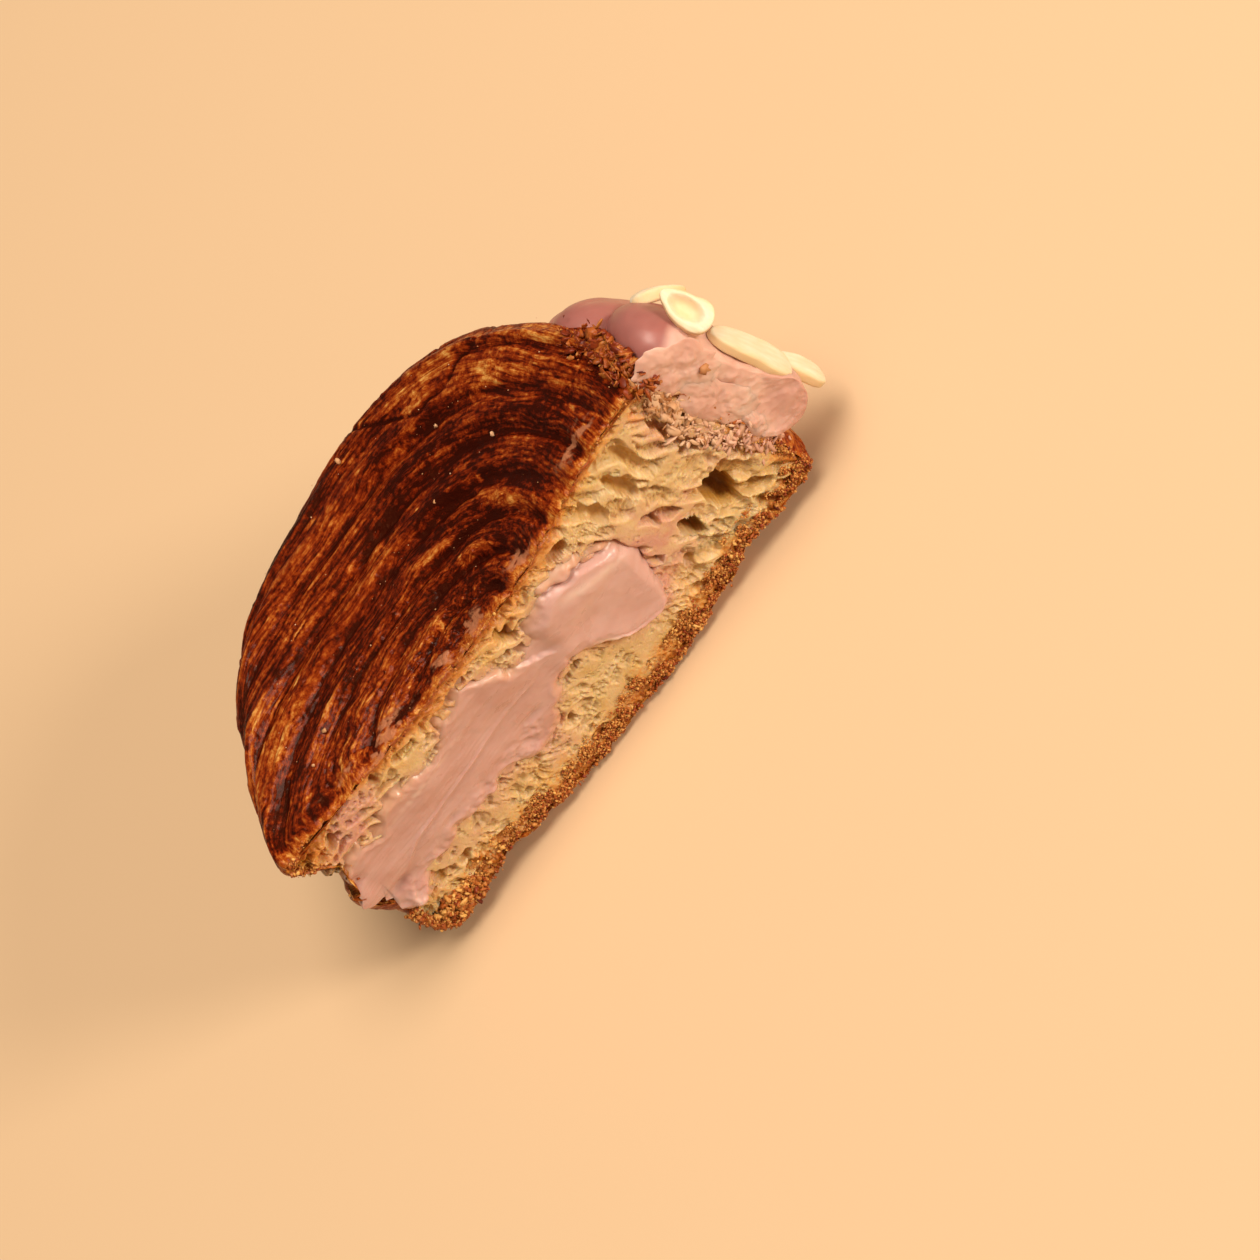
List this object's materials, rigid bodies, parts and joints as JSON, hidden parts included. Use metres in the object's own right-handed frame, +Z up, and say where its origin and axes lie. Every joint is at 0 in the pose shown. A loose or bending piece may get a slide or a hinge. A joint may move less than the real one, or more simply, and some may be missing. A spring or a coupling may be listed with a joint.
{
  "type": "halved cream-filled laminated pastry roll",
  "caption": "Half of a round laminated croissant roll, cut through its middle, with pink cream inside and pink ganache and slivered almonds on one end of the rim.",
  "frame": {"origin": "on the resting face, on the flat middle of the golden face, 14 mm in from the cut plane and in line with the coil's axis", "axes": "+Z up along the coil's axis, out of the dark face; +X along the cut towards the ganache end; the cut face looks along -Y"},
  "size_m": [0.1162, 0.0531, 0.0486],
  "materials": {
    "crust": "baked lacquered crust, pale open crumb on the cut",
    "cream": "soft pink whipped cream",
    "ganache": "smooth dusky pink ganache",
    "almond": "blanched slivered almond"
  },
  "bodies": {
    "root": {"pastry": "crust", "cream_filling": "cream", "ganache_strokes": "ganache", "almond_long_cut_side": "almond", "almond_low_cut_side": "almond", "almond_curled": "almond", "almond_upper_rim": "almond", "almond_middle": "almond", "almond_upright": "almond", "almond_low_middle": "almond", "almond_far_side": "almond"}
  },
  "joints": []
}
